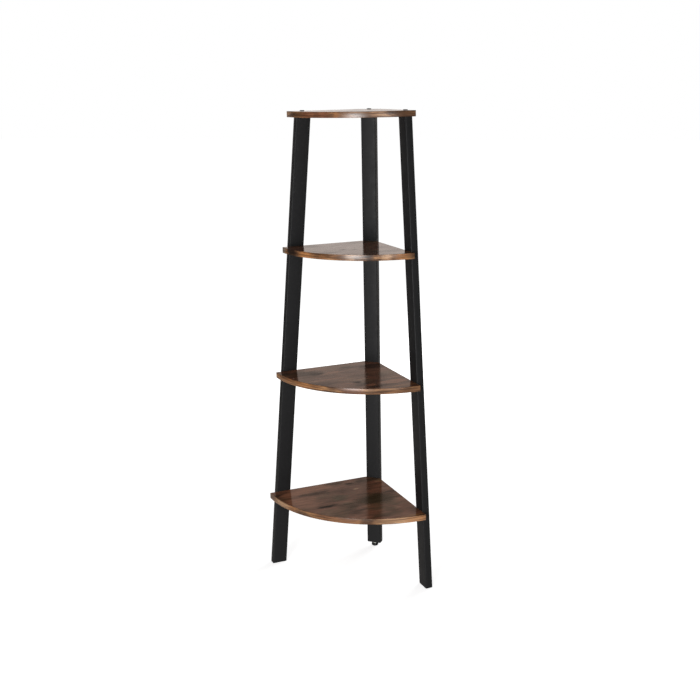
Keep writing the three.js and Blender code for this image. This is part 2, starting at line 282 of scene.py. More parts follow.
# A tube whose middle is at X = alongAt(height), sawn level at both ends.
def makeTube(name, low, high, alongAt, middleY):
    centre = Vector((alongAt((low + high) / 2), middleY, (low + high) / 2))
    lean = math.atan((alongAt(low) - alongAt(high)) / (high - low))
    length = high - low + 2 * tube["sawAllowance"]
    bpy.ops.mesh.primitive_cube_add(
        size=1, calc_uvs=False, location=centre, scale=(tube["width"], tube["depth"], length))
    piece = settle(name)
    edit(piece)
    pick(piece, "EDGE", lambda middle, way: runsAlong(way, up))
    bpy.ops.mesh.bevel(offset=tube["cornerRadius"], segments=tube["cornerSteps"], affect="EDGES")
    pick(piece, "FACE", lambda middle, normal: runsAlong(normal, up))
    bpy.ops.mesh.delete(type="FACE")
    letGo()
    applyModifier(piece, "SOLIDIFY", thickness=tube["wall"], offset=-1, use_even_offset=True)
    edit(piece)
    bpy.ops.mesh.select_all(action="SELECT")
    # without a window this turns the other way round, so a positive angle draws the top in
    bpy.ops.transform.rotate(value=lean, orient_axis="Y", center_override=centre)
    sawOff(Vector((0, 0, low)), -up)
    sawOff(Vector((0, 0, high)), up)
    for level in (low, high):
        pick(piece, "EDGE", lambda middle, way: near(middle.z, level) and runsAcross(way, up))
        bpy.ops.mesh.bridge_edge_loops()
    turnFacesOut(piece)
    return piece


# Drills a leg's bolt holes, square through both of its wide walls.
def drillLeg(piece, spots, middleY):
    for along, height in spots:
        start = Vector((along, middleY - tube["depth"], height))
        combine(piece, drillBar(start, outward["rear"], tube["holeRadius"], 2 * tube["depth"]))


def makeLegs():
    boltHeights = [nodeMiddle(f"{node}_right_bolt").z for node in lowerShelves.values()]
    low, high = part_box("right_leg")[0].z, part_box("right_leg")[1].z
    frontTube = makeTube("frontTube", low, high, legAlong, wallToMiddle)
    drillLeg(frontTube, [(legAlong(height), height) for height in boltHeights], wallToMiddle)
    for side, place in wallFrames.items():
        leg = duplicate(frontTube, f"{side}LegTube", place)
        finish(leg, "frame", "black_steel", [powderCoat], f"{side}_leg")
    bpy.data.objects.remove(frontTube)

    rearLow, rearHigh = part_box("rear_leg")
    rearY = (rearLow.y + rearHigh.y) / 2
    rearTube = makeTube("rearLegTube", rearLow.z, rearHigh.z, lambda height: 0, rearY)
    drillLeg(rearTube, [(0, height) for height in boltHeights], rearY)
    finish(rearTube, "frame", "black_steel", [powderCoat], "rear_leg")


# Plastic ends pushed into the tubes: a flange as wide as the tube, and a hollow plug with ribs
footPlug = {
    "flange": 2.5 * mm,
    "rimRound": 0.7 * mm,
    "rimSteps": 4,
    "ribMargin": 1.5 * mm,  # from the tube's outside to the ribs
    "plugMargin": 2.7 * mm,
    "plugWall": 2.4 * mm,
    "plugHeight": 20 * mm,
    "ribs": 3,
    "ribHeight": 1.6 * mm,
    "ribTaper": 0.4 * mm,
    "innerRound": 0.625 * mm,
    "threadRadius": 4.3 * mm,
}


# A block with the tube's section less a margin, between two heights. It leans with its tube.
def makePlugLayer(name, margin, low, high, alongAt, middleY):
    lean = math.atan2(alongAt(low) - alongAt(high), high - low)
    bpy.ops.mesh.primitive_cube_add(
        size=1, calc_uvs=False, location=(alongAt(low), middleY, (low + high) / 2),
        scale=((tube["width"] - 2 * margin) / math.cos(lean), tube["depth"] - 2 * margin, high - low))
    piece = settle(name)
    edit(piece)
    pick(piece, "FACE", lambda middle, normal: looksTo(normal, up))
    bpy.ops.transform.translate(value=(alongAt(high) - alongAt(low), 0, 0))
    pick(piece, "EDGE", lambda middle, way: runsAlong(way, up))
    cornerRadius = max(tube["cornerRadius"] - margin, footPlug["innerRound"])
    bpy.ops.mesh.bevel(offset=cornerRadius, segments=tube["cornerSteps"], affect="EDGES")
    return piece


# Rounds or tapers a layer's rim at one height.
def easeRim(piece, level, offset, steps):
    pick(piece, "EDGE", lambda middle, way: near(middle.z, level) and runsAcross(way, up))
    bpy.ops.mesh.bevel(offset=offset, segments=steps, affect="EDGES")
    letGo()


# A plug from its flange's underside, at low, up.
def makeFootPlug(name, low, alongAt, middleY):
    base = low + footPlug["flange"]
    top = base + footPlug["plugHeight"]
    piece = makePlugLayer(name, 0, low, base, alongAt, middleY)
    easeRim(piece, low, footPlug["rimRound"], footPlug["rimSteps"])
    core = makePlugLayer("core", footPlug["plugMargin"], (low + base) / 2, top, alongAt, middleY)
    letGo()
    combine(piece, core, "UNION")
    for i in range(footPlug["ribs"]):
        ribLow = base + (i + 0.5) * footPlug["plugHeight"] / footPlug["ribs"]
        ribHigh = ribLow + footPlug["ribHeight"]
        rib = makePlugLayer("rib", footPlug["ribMargin"], ribLow, ribHigh, alongAt, middleY)
        easeRim(rib, ribHigh, footPlug["ribTaper"], steps=1)
        combine(piece, rib, "UNION")
    return piece


def makeFeet():
    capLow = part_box("right_leg_foot_cap")[0].z
    cap = makeFootPlug("cap", capLow, legAlong, wallToMiddle)
    base = capLow + footPlug["flange"]
    margin = footPlug["plugMargin"] + footPlug["plugWall"]
    hollow = makePlugLayer("hollow", margin, base, base + 2 * footPlug["plugHeight"], legAlong, wallToMiddle)
    letGo()
    combine(cap, hollow)
    turnFacesOut(cap)
    for side, place in wallFrames.items():
        footCap = duplicate(cap, f"{side}LegFootCap", place)
        finish(footCap, "frame", "black_plastic", [mouldedPlastic], f"{side}_leg_foot_cap")
    bpy.data.objects.remove(cap)

    low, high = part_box("rear_leg_foot_insert")
    middle = (low + high) / 2
    insert = makeFootPlug("rearLegFootInsert", low.z, lambda height: 0, middle.y)
    under = Vector((0, middle.y, low.z - footPlug["flange"]))
    combine(insert, drillBar(under, up, footPlug["threadRadius"], 2 * footPlug["plugHeight"]))
    turnFacesOut(insert)
    finish(insert, "frame", "black_plastic", [mouldedPlastic], "rear_leg_foot_insert")


# The levelling foot: a round plastic glide, and a zinc-plated M8 stud with a hexagon to turn it by
glide = {
    "sides": 96,
    "bottomRound": 3 * mm,
    "bottomSteps": 10,
    "topRound": 0.8 * mm,
    "topSteps": 4,
    "socketRadius": 5.8 * mm,
    "socketDepth": 3.5 * mm,
}
stud = {
    "sides": 64,
    "shoulderRadius": 5.5 * mm,
    "shoulderHeight": 6 * mm,
    "hexWidth": 13 * mm,  # across the flats
    "hexHeight": 2.5 * mm,
    "hexRound": 0.35 * mm,
    "majorRadius": 4 * mm,
    "minorRadius": 3.4 * mm,
    "pitch": 1.25 * mm,
    "turnSteps": 32,
    "spareTurns": 2,  # sawn off
    "overlap": 0.5 * mm,  # of the thread and the shoulder
    "edgeRound": 0.3 * mm,
    "roundSteps": 2,
    # one turn of the thread from root to root, in shares of its depth and of its pitch
    "threadShares": [(0, 0), (0, 0.25), (1, 0.5625), (1, 0.6875), (0, 1)],
}


def makeGlide():
    low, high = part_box("rear_foot_pad")
    middle = (low + high) / 2
    radius = (high.x - low.x) / 2
    bpy.ops.mesh.primitive_cylinder_add(
        vertices=glide["sides"], radius=radius, depth=high.z - low.z, location=middle, calc_uvs=False)
    piece = settle("rearFootGlide")
    edit(piece)
    pick(piece, "EDGE", lambda spot, way: near(spot.z, low.z))
    bpy.ops.mesh.bevel(offset=glide["bottomRound"], segments=glide["bottomSteps"], affect="EDGES")
    pick(piece, "EDGE", lambda spot, way: near(spot.z, high.z))
    bpy.ops.mesh.bevel(offset=glide["topRound"], segments=glide["topSteps"], affect="EDGES")
    pick(piece, "FACE", lambda spot, normal: looksTo(normal, up))
    bpy.ops.mesh.inset(thickness=radius - glide["topRound"] - glide["socketRadius"])
    extrude(-up * glide["socketDepth"])
    turnFacesOut(piece)
    finish(piece, "foot_pad", "black_plastic", [mouldedPlastic], "rear_foot_pad")


# A line drawn corner by corner: a plane is cut down to one corner, which is extruded from point to point.
def drawLine(name, points):
    bpy.ops.mesh.primitive_plane_add(size=mm, calc_uvs=False)
    piece = settle(name)
    edit(piece)
    bpy.ops.mesh.select_mode(type="VERT")
    bpy.ops.mesh.select_all(action="SELECT")
    bpy.ops.mesh.merge(type="CENTER")
    bpy.ops.transform.translate(value=points[0])
    for start, end in zip(points, points[1:]):
        extrude(end - start)
    letGo()
    return piece


def makeStud():
    low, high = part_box("rear_foot_stud")
    middle = (low + high) / 2
    axis = Vector((0, middle.y, 0))
    shoulderTop = low.z + stud["shoulderHeight"]
    depth = stud["majorRadius"] - stud["minorRadius"]
    turns = math.ceil((high.z - shoulderTop) / stud["pitch"]) + stud["spareTurns"]
    start = shoulderTop - stud["pitch"]
    line = [Vector((stud["minorRadius"] + depth * out, 0, start + stud["pitch"] * along))
            for out, along in stud["threadShares"]]
    rod = drawLine("rod", line)
    applyModifier(rod, "SCREW", axis="Z", angle=math.tau, screw_offset=stud["pitch"], iterations=turns,
                  steps=stud["turnSteps"], render_steps=stud["turnSteps"], use_merge_vertices=True,
                  merge_threshold=tolerance["welding"], use_smooth_shade=False)
    edit(rod)
    sawOff(Vector((0, 0, shoulderTop - stud["overlap"])), -up, fill=True)
    sawOff(Vector((0, 0, high.z)), up, fill=True)
    letGo()
    rod.data.transform(Matrix.Translation(axis))
    turnFacesOut(rod)

    bpy.ops.mesh.primitive_cylinder_add(
        vertices=stud["sides"], radius=stud["shoulderRadius"], depth=stud["shoulderHeight"], calc_uvs=False,
        location=axis + up * (low.z + stud["shoulderHeight"] / 2))
    shoulder = settle("rearFootStud")
    edit(shoulder)
    pick(shoulder, "EDGE", lambda spot, way: runsAcross(way, up))
    bpy.ops.mesh.bevel(offset=stud["edgeRound"], segments=stud["roundSteps"], affect="EDGES")
    letGo()
    bpy.ops.mesh.primitive_cylinder_add(
        vertices=6, radius=stud["hexWidth"] / math.sqrt(3), depth=stud["hexHeight"], calc_uvs=False,
        location=axis + up * (shoulderTop - stud["hexHeight"] / 2), rotation=(0, 0, math.pi / 6))
    hexagon = settle("hexagon")
    edit(hexagon)
    pick(hexagon, "EDGE", lambda spot, way: True)
    bpy.ops.mesh.bevel(offset=stud["hexRound"], segments=stud["roundSteps"], affect="EDGES")
    letGo()
    combine(shoulder, hexagon, "UNION")
    combine(shoulder, rod, "UNION")
    turnFacesOut(shoulder)
    finish(shoulder, "foot_stud", "zinc_steel", [zincPlate], "rear_foot_stud")


# Boards: 15 mm melamine-faced particle board, with a 1 mm band glued to each edge
board = {
    "band": 1 * mm,
    "glueLine": 0.1 * mm,
    "arcSides": 256,  # round a whole circle
    "arcRoom": 0.2 * mm,  # more than a side's middle falls short of the arc
    "leastReach": 0.1 * mm,  # below this a board's wall edge ends at the corner point
    "bandRound": 0.45 * mm,  # the trimmed long edges
    "roundSteps": 3,
    "nutRadius": 5.3 * mm,
    "nutSkin": 1.7 * mm,  # board left above a barrel nut's hole
    "edgeHoleDepth": 40 * mm,
    "drillOverrun": 2 * mm,
}
bandInset = board["band"] + board["glueLine"]


# A board's sizes from the frame. Reach is how far its wall edges stand out past the corner point.
def boardSizes(node):
    low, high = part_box(f"{node}_front_band")
    radius = cornerY - low.y
    reach = math.sqrt(2) * high.x - radius
    return {
        "radius": radius,
        "reach": reach if reach > board["leastReach"] else 0,
        "rearY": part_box(f"{node}_rear_band")[1].y,
        "low": low.z,
        "high": high.z,
        "height": high.z - low.z,
    }


# What each board is drilled for its joints with: a bar for each hole.
def boardDrills(node, sizes):
    overrun = board["drillOverrun"]
    drills = []
    for leg in legs:
        if node == "top_shelf":
            middle = nodeMiddle(f"{node}_{leg}_bolt")
            start = Vector((middle.x, middle.y, sizes["low"] - overrun))
            drills.append((start, up, tube["holeRadius"], sizes["height"] + 2 * overrun))
            continue
        start = edgeJoint(leg, node) + outward[leg] * overrun
        drills.append((start, -outward[leg], tube["holeRadius"], board["edgeHoleDepth"] + overrun))
        nut = nodeMiddle(f"{node}_{leg}_barrel_nut")
        start = Vector((nut.x, nut.y, sizes["low"] - overrun))
        drills.append((start, up, board["nutRadius"], sizes["high"] - board["nutSkin"] - start.z))
    return drills


def makeBoard(name, node):
    sizes = boardSizes(node)
    bpy.ops.mesh.primitive_circle_add(
        vertices=board["arcSides"], radius=sizes["radius"] - bandInset, fill_type="NGON", calc_uvs=False,
        location=(0, cornerY, sizes["low"]))
    piece = settle(f"{name}Board")
    edit(piece)
    for way in (outward["left"], outward["right"]):
        # the top board's edge runs straight on past the corner point, over the leg
        start = corner if sizes["reach"] else corner - way * bandInset
        sawOff(start, way)
        if sizes["reach"]:
            pick(piece, "EDGE", lambda middle, along: near((middle - corner).dot(way), 0)
                 and runsAcross(along, way))
            extrude(way * (sizes["reach"] - bandInset))
    sawOff(Vector((0, sizes["rearY"] - bandInset, 0)), outward["rear"])
    bpy.ops.mesh.select_all(action="SELECT")
    bpy.ops.mesh.dissolve_limited(angle_limit=math.radians(flatAngle))
    bpy.ops.mesh.select_all(action="SELECT")
    extrude(up * sizes["height"])
    turnFacesOut(piece)
    drills = boardDrills(node, sizes)
    for start, way, radius, length in drills:
        combine(piece, drillBar(start, way, radius, length))
    finish(piece, "frame", "laminated_board", [melamine, particleBoard], node)
    for face in piece.data.polygons:  # the drilled holes show the raw board
        for start, way, radius, length in drills:
            aside = face.center - start
            depth = aside.dot(way)
            if (aside - way * depth).length < radius and 0 < depth < length + tolerance["touching"]:
                face.material_index = 1
    makeBands(name, node, sizes)


# Gives a band its own map, in metres along it and up it, so that its print follows the edge.
def unrollBand(piece, alongAt):
    bandMap = piece.data.uv_layers.new(name="bandMap")
    for face in piece.data.polygons:
        for loop in face.loop_indices:
            point = piece.data.vertices[piece.data.loops[loop].vertex_index].co
            bandMap.data[loop].uv = (alongAt(point), point.z)


def finishBand(piece, node, alongAt):
    unrollBand(piece, alongAt)
    finish(piece, "frame", "edge_band", [edgeBand], node)


def makeBands(name, node, sizes):
    makeFrontBand(f"{name}FrontBand", f"{node}_front_band", sizes)
    for side in ("left", "right"):
        makeSideBand(f"{name}{side.capitalize()}Band", f"{node}_{side}_band", side, node, sizes)
    makeRearBand(f"{name}RearBand", f"{node}_rear_band", node, sizes)


# Bent round the front: a circle cut down to the quarter that faces the room, drawn up and thickened inwards.
def makeFrontBand(name, node, sizes):
    bpy.ops.mesh.primitive_circle_add(
        vertices=board["arcSides"], radius=sizes["radius"], calc_uvs=False,
        location=(0, cornerY, sizes["low"]))
    piece = settle(name)
    edit(piece)
    for side in ("left", "right"):
        sawOff(corner, outward[side])
    if sizes["reach"]:
        for side in ("left", "right"):
            end = corner + wallWay[side] * sizes["radius"] + up * sizes["low"]
            bpy.ops.mesh.select_mode(type="VERT")
            bpy.ops.mesh.select_all(action="DESELECT")
            mesh = bmesh.from_edit_mesh(piece.data)
            for vertex in mesh.verts:
                vertex.select_set(near((vertex.co - end).length, 0))
            bmesh.update_edit_mesh(piece.data)
            extrude(outward[side] * sizes["reach"])
    bpy.ops.mesh.select_mode(type="EDGE")
    bpy.ops.mesh.select_all(action="SELECT")
    extrude(up * sizes["height"])
    bpy.ops.mesh.select_all(action="SELECT")
    bpy.ops.mesh.normals_make_consistent(inside=False)
    letGo()
    # away from the corner point is outwards
    facing = sum(face.normal.dot(face.center - corner) for face in piece.data.polygons)
    applyModifier(piece, "SOLIDIFY", thickness=board["band"], offset=-1 if facing > 0 else 1,
                  use_even_offset=True)
    edit(piece)

    def atOuterEdge(middle, way):
        rim = near(middle.z, sizes["low"]) or near(middle.z, sizes["high"])
        out = (middle - corner) * Vector((1, 1, 0))
        straight = max(out.dot(outward["left"]), out.dot(outward["right"]), 0)
        radial = max(out.dot(wallWay["left"]), out.dot(wallWay["right"])) if straight else out.length
        return rim and runsAcross(way, up) and abs(radial - sizes["radius"]) < board["arcRoom"]

    pick(piece, "EDGE", atOuterEdge)
    bpy.ops.mesh.bevel(offset=board["bandRound"], segments=board["roundSteps"], affect="EDGES")
    turnFacesOut(piece)

    # round the arc from its middle, and on along the straight ends
    def alongAt(point):
        out = point - corner
        turn = math.atan2(out.x, -out.y)
        straight = max(out.dot(outward["left"]), out.dot(outward["right"]), 0)
        turn = max(-math.pi / 4, min(math.pi / 4, turn))
        return turn * sizes["radius"] + math.copysign(straight, turn)

    finishBand(piece, node, alongAt)


# Eases the long edges of a straight band that look outwards, and drills it for the bolt.
def trimBand(piece, node, way, outerPlane, sizes):
    edit(piece)
    pick(piece, "EDGE", lambda middle, along: near(middle.dot(way), outerPlane)
         and runsAcross(along, up) and runsAcross(along, way))
    bpy.ops.mesh.bevel(offset=board["bandRound"], segments=board["roundSteps"], affect="EDGES")
    turnFacesOut(piece)
    if node != "top_shelf":
        for start, drillWay, radius, length in boardDrills(node, sizes):
            if looksTo(drillWay, -way):
                combine(piece, drillBar(start, drillWay, radius, length))


def makeSideBand(name, bandNode, side, node, sizes):
    way, along = outward[side], wallWay[side]
    outerPlane = corner.dot(way) + sizes["reach"]
    length = sizes["radius"] - bandInset
    middle = corner + along * length / 2 + way * (sizes["reach"] - board["band"] / 2)
    middle.z = (sizes["low"] + sizes["high"]) / 2
    bpy.ops.mesh.primitive_cube_add(
        size=1, calc_uvs=False, location=middle, scale=(length, board["band"], sizes["height"]),
        rotation=(0, 0, math.atan2(along.y, along.x)))
    piece = settle(name)
    edit(piece)
    sawOff(Vector((0, sizes["rearY"] - bandInset, 0)), outward["rear"], fill=True)
    trimBand(piece, node, way, outerPlane, sizes)
    finishBand(piece, bandNode, lambda point: (point - corner).dot(along))


def makeRearBand(name, bandNode, node, sizes):
    depth = board["band"]
    halfWidth = cornerY - sizes["rearY"] + math.sqrt(2) * sizes["reach"] + depth
    bpy.ops.mesh.primitive_cube_add(
        size=1, calc_uvs=False, scale=(2 * halfWidth, depth, sizes["height"]),
        location=(0, sizes["rearY"] - depth / 2, (sizes["low"] + sizes["high"]) / 2))
    piece = settle(name)
    edit(piece)
    for side in ("left", "right"):
        sawOff(corner + outward[side] * sizes["reach"], outward[side], fill=True)
    trimBand(piece, node, outward["rear"], sizes["rearY"], sizes)
    finishBand(piece, bandNode, lambda point: point.x)


# Black M6 furniture bolts with a low round head and a hexagon socket
bolt = {
    "sides": 48,
    "shankRadius": 3 * mm,
    "headRadius": 6 * mm,
    "headHeight": 1.8 * mm,
    "rimHeight": 0.7 * mm,
    "crownShare": 0.6,  # the flat top's radius, as a share of the head's
    "domeSteps": 7,
    "socketWidth": 4 * mm,  # across the flats
    "socketDepth": 2.2 * mm,
    "endChamfer": 0.8 * mm,
}


# Stands at the origin with the underside of its head at zero and its shank running down.
def makeBolt(name, length):
    rim, radius = bolt["rimHeight"], bolt["headRadius"]
    bpy.ops.mesh.primitive_cylinder_add(
        vertices=bolt["sides"], radius=radius, depth=rim, location=(0, 0, rim / 2), calc_uvs=False)
    piece = settle(name)
    edit(piece)
    pick(piece, "FACE", lambda middle, normal: looksTo(normal, up))
    crown, rise = radius * bolt["crownShare"], bolt["headHeight"] - rim
    width, height = radius, rim
    for step in range(1, bolt["domeSteps"] + 1):
        swing = math.pi / 2 * step / bolt["domeSteps"]
        newWidth = crown + (radius - crown) * math.cos(swing)
        newHeight = rim + rise * math.sin(swing)
        extrude(up * (newHeight - height))
        factor = newWidth / width
        bpy.ops.transform.resize(value=(factor, factor, 1), center_override=(0, 0, newHeight))
        width, height = newWidth, newHeight
    pick(piece, "FACE", lambda middle, normal: looksTo(normal, -up))
    bpy.ops.mesh.inset(thickness=radius - bolt["shankRadius"])
    extrude(-up * (length - bolt["endChamfer"]))
    extrude(-up * bolt["endChamfer"])
    factor = 1 - bolt["endChamfer"] / bolt["shankRadius"]
    bpy.ops.transform.resize(value=(factor, factor, 1), center_override=(0, 0, -length))
    turnFacesOut(piece)
    bpy.ops.mesh.primitive_cylinder_add(
        vertices=6, radius=bolt["socketWidth"] / math.sqrt(3), depth=2 * bolt["socketDepth"],
        location=(0, 0, bolt["headHeight"]), calc_uvs=False)
    combine(piece, settle("socket"))
    return piece


def makeBolts():
    depth = tube["depth"] + 2 * tube["gap"]
    low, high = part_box("bottom_shelf_rear_bolt")
    edgeBolt = makeBolt("edgeBolt", high.y - low.y - bolt["headHeight"])
    low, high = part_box("top_shelf_rear_bolt")
    topBolt = makeBolt("topBolt", high.z - low.z - bolt["headHeight"])
    for name, node in shelves.items():
        for leg in legs:
            if node == "top_shelf":
                middle = nodeMiddle(f"{node}_{leg}_bolt")
                place = Matrix.Translation((middle.x, middle.y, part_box(node)[1].z))
                model = topBolt
            else:
                turn = up.rotation_difference(outward[leg]).to_matrix().to_4x4()
                place = Matrix.Translation(edgeJoint(leg, node) + outward[leg] * depth) @ turn
                model = edgeBolt
            copy = duplicate(model, f"{name}{leg.capitalize()}Bolt", place)
            finish(copy, "frame", "black_bolt", [blackOxide], f"{node}_{leg}_bolt")
    bpy.data.objects.remove(edgeBolt)
    bpy.data.objects.remove(topBolt)


# Upright barrel nuts in the boards' undersides, with a slot to turn them by
barrelNut = {
    "sides": 48,
    "radius": 5 * mm,
    "chamfer": 0.5 * mm,
    "chamferSteps": 2,
    "holeRadius": 3.3 * mm,
    "slotWidth": 1.2 * mm,
    "slotDepth": 1.5 * mm,
}


# Stands at the origin, its cross hole along Y and its slot in line with it underneath.
def makeBarrelNut(length):
    radius = barrelNut["radius"]
    bpy.ops.mesh.primitive_cylinder_add(
        vertices=barrelNut["sides"], radius=radius, depth=length, calc_uvs=False)
    piece = settle("barrelNut")
    edit(piece)
    pick(piece, "EDGE", lambda middle, way: runsAcross(way, up))
    bpy.ops.mesh.bevel(offset=barrelNut["chamfer"], segments=barrelNut["chamferSteps"], affect="EDGES")
    letGo()
    start = Vector((0, -2 * radius, 0))
    combine(piece, drillBar(start, outward["rear"], barrelNut["holeRadius"], 4 * radius))
    bpy.ops.mesh.primitive_cube_add(
        size=1, calc_uvs=False, location=(0, 0, -length / 2),
        scale=(barrelNut["slotWidth"], 4 * radius, 2 * barrelNut["slotDepth"]))
    combine(piece, settle("slot"))
    return piece


def makeBarrelNuts():
    low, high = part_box("bottom_shelf_rear_barrel_nut")
    model = makeBarrelNut(high.z - low.z)
    for name, node in lowerShelves.items():
        for leg in legs:
            nut = f"{node}_{leg}_barrel_nut"
            turn = outward["rear"].rotation_difference(outward[leg]).to_matrix().to_4x4()
            copy = duplicate(model, f"{name}{leg.capitalize()}BarrelNut",
                             Matrix.Translation(nodeMiddle(nut)) @ turn)
            finish(copy, "frame", "zinc_steel", [zincPlate], nut)
    bpy.data.objects.remove(model)


# A written sRGB colour as Blender's linear one.
def paint(hexColour):
    channels = [int(hexColour[i : i + 2], 16) / 255 for i in (1, 3, 5)]
    return (*[c / 12.92 if c <= 0.04045 else ((c + 0.055) / 1.055) ** 2.4 for c in channels], 1)


# Adds a node. Its inputs are values or other nodes' outputs, listed from the first one on or given by name or
# number. Stops are the colours of a ramp.
def addNode(tree, kind, inputs=(), stops=(), **settings):
    node = tree.nodes.new("ShaderNode" + kind)
    for setting, value in settings.items():
        setattr(node, setting, value)
    for i, (position, colour) in enumerate(stops):
        element = node.color_ramp.elements[i] if i < 2 else node.color_ramp.elements.new(position)
        element.position = position
        element.color = colour if isinstance(colour, tuple) else paint(colour)
    for name, value in inputs.items() if isinstance(inputs, dict) else enumerate(inputs):
        if isinstance(value, bpy.types.NodeSocket):
            tree.links.new(value, node.inputs[name])
        else:
            node.inputs[name].default_value = value
    return node


def newMaterial(name):
    material = bpy.data.materials.new(name)
    material.use_nodes = True
    material.node_tree.nodes.clear()
    return material, material.node_tree


def finishMaterial(tree, surface):
    addNode(tree, "OutputMaterial", {"Surface": surface.outputs[0]})


# The colours of the wood print's marks, on the boards and on their bands
tints = {
    "black": "#241811",
    "dark": "#38241a",
    "umber": "#44341f",
    "red": "#764833",
    "rust": "#a56d50",
    "olive": "#574a31",
    "orange": "#ab7446",
    # pale is also laid on the front bands as painted highlights
    "pale": "#bd9470",
    "grey": "#766a5f",
}
markEdge = (0.45, 1.25)  # shares of a mark's half size, from its full tint to none


# Lays soft-edged marks over a print. Each has its middle and half sizes in the print's own place, its tint
# and how strong it is.
def addMarks(tree, place, wood, marks):
    for middle, halfSizes, tint, strength in marks:
        spot = addNode(tree, "Mapping", {"Vector": place, "Location": middle, "Scale": halfSizes},
                       vector_type="TEXTURE")
        away = addNode(tree, "VectorMath", [spot.outputs[0]], operation="LENGTH").outputs["Value"]
        share = addNode(tree, "MapRange", [away, *markEdge, strength, 0.0],
                        interpolation_type="SMOOTHSTEP").outputs[0]
        wood = addNode(tree, "Mix", {0: share, 6: wood, 7: paint(tints[tint])}, data_type="RGBA").outputs[2]
    return wood


# Noise drawn out along the grain, which is the place's X.
def addGrain(tree, place, size, layer=1, detail=2, distortion=0, output="Fac"):
    across, along = size
    scaled = addNode(tree, "Mapping", {"Vector": place, "Scale": (1 / along, 1 / across, 1 / layer)})
    return addNode(tree, "TexNoise", {
        "Vector": scaled.outputs[0], "Scale": 1.0, "Detail": detail, "Roughness": 0.5,
        "Distortion": distortion}).outputs[output]


# Pushes a place about by noise, so that the marks on it get ragged, feathered ends.
def addWander(tree, place, noise, reach):
    centred = addNode(tree, "VectorMath", [noise, (0.5, 0.5, 0.5)], operation="SUBTRACT").outputs[0]
    return addNode(tree, "VectorMath", [centred, (*reach, 0), place], operation="MULTIPLY_ADD").outputs[0]


# Printed melamine in a rustic brown wood print. Its grain runs along the left wall's edge, as the boards are
# sawn from sheets. Sizes are across and along the grain.
melaminePrint = {
    "grainTurn": -45,  # degrees, which brings the grain onto X
    "patch": (48 * mm, 95 * mm),
    "olivePatch": (60 * mm, 85 * mm),
    "streak": (7 * mm, 60 * mm),
    "fibre": (1.6 * mm, 24 * mm),  # drawn a little coarser than print, to show at all
    "pore": (0.5 * mm, 9 * mm),
    "feather": (7 * mm, 30 * mm),
    "wander": (50 * mm, 16 * mm),  # along and across
    "boardLayer": 30 * mm,  # how far apart in height two prints differ altogether
    # where the patches' noise turns dark, brown, red-brown and tan
    "shades": [(0.32, "#4c3325"), (0.46, "#7a4f39"), (0.58, "#8b5840"), (0.72, "#a17656")],
    "oliveNoise": (0.48, 0.66),
    "oliveShare": 0.6,
    "darkGrain": 0.35,  # the streaks' and fibres' noise, from their shade to clear
    "clearGrain": 0.6,
    "streakShade": "#988f88",
    "streakShare": 0.55,
    "fibreShade": "#aaa39e",
    "fibreShare": 0.35,
    "poreNoise": (0.3, 0.45),
    "poreDepth": 0.012 * mm,
    "poreStrength": 0.6,
    # the dark print is embossed, so it mirrors less than the pale: brightness, specular level and roughness
    "brightness": (0.015, 0.12),
    "gloss": (0.1, 0.85),
    "roughness": (0.2, 0.12),
}

# Marks of the print on each board, in millimetres: middle from the corner point, and half size along and
# across the grain
boardMarks = {
    "bottom_shelf": [
        ((-146, -184), (50, 26), "rust", 1.0), ((-112, -150), (40, 18), "rust", 0.8),
        ((-32, -195), (26, 24), "olive", 0.9), ((178, -238), (30, 10), "rust", 0.5),
        ((-122, -255), (52, 30), "rust", 0.9), ((-85, -102), (34, 9), "umber", 0.8),
        ((-165, -225), (30, 22), "rust", 0.8), ((-88, -275), (40, 20), "rust", 0.6),
        ((12, -240), (30, 24), "umber", 0.7), ((66, -168), (72, 42), "umber", 1.0),
        ((-38, -262), (36, 8), "black", 1.0), ((-45, -88), (10, 6), "black", 0.9),
        ((128, -222), (24, 20), "umber", 0.7), ((-13, -117), (6, 4), "pale", 0.9),
        ((186, -250), (46, 8), "orange", 0.9),
    ],
    "middle_shelf": [
        ((-118, -190), (44, 44), "umber", 0.9), ((-92, -190), (20, 20), "black", 0.7),
        ((-123, -158), (30, 9), "rust", 0.8), ((-60, -160), (30, 14), "rust", 1.0),
        ((-48, -232), (60, 12), "rust", 0.5), ((-40, -97), (34, 13), "umber", 0.9),
        ((40, -226), (16, 14), "black", 1.0), ((20, -165), (34, 16), "umber", 0.5),
        ((77, -142), (12, 20), "umber", 0.7), ((128, -184), (44, 18), "rust", 0.9),
        ((85, -236), (18, 12), "rust", 0.9), ((160, -213), (40, 9), "orange", 0.9),
    ],
    "upper_shelf": [
        ((-112, -154), (28, 24), "umber", 0.8), ((-12, -145), (11, 6), "rust", 1.0),
        ((-14, -179), (9, 8), "black", 1.0), ((14, -172), (9, 7), "black", 0.9),
        ((150, -180), (36, 9), "orange", 0.8),
    ],
    "top_shelf": [((-60, -120), (34, 12), "umber", 0.6), ((48, -165), (14, 7), "rust", 0.8)],
}


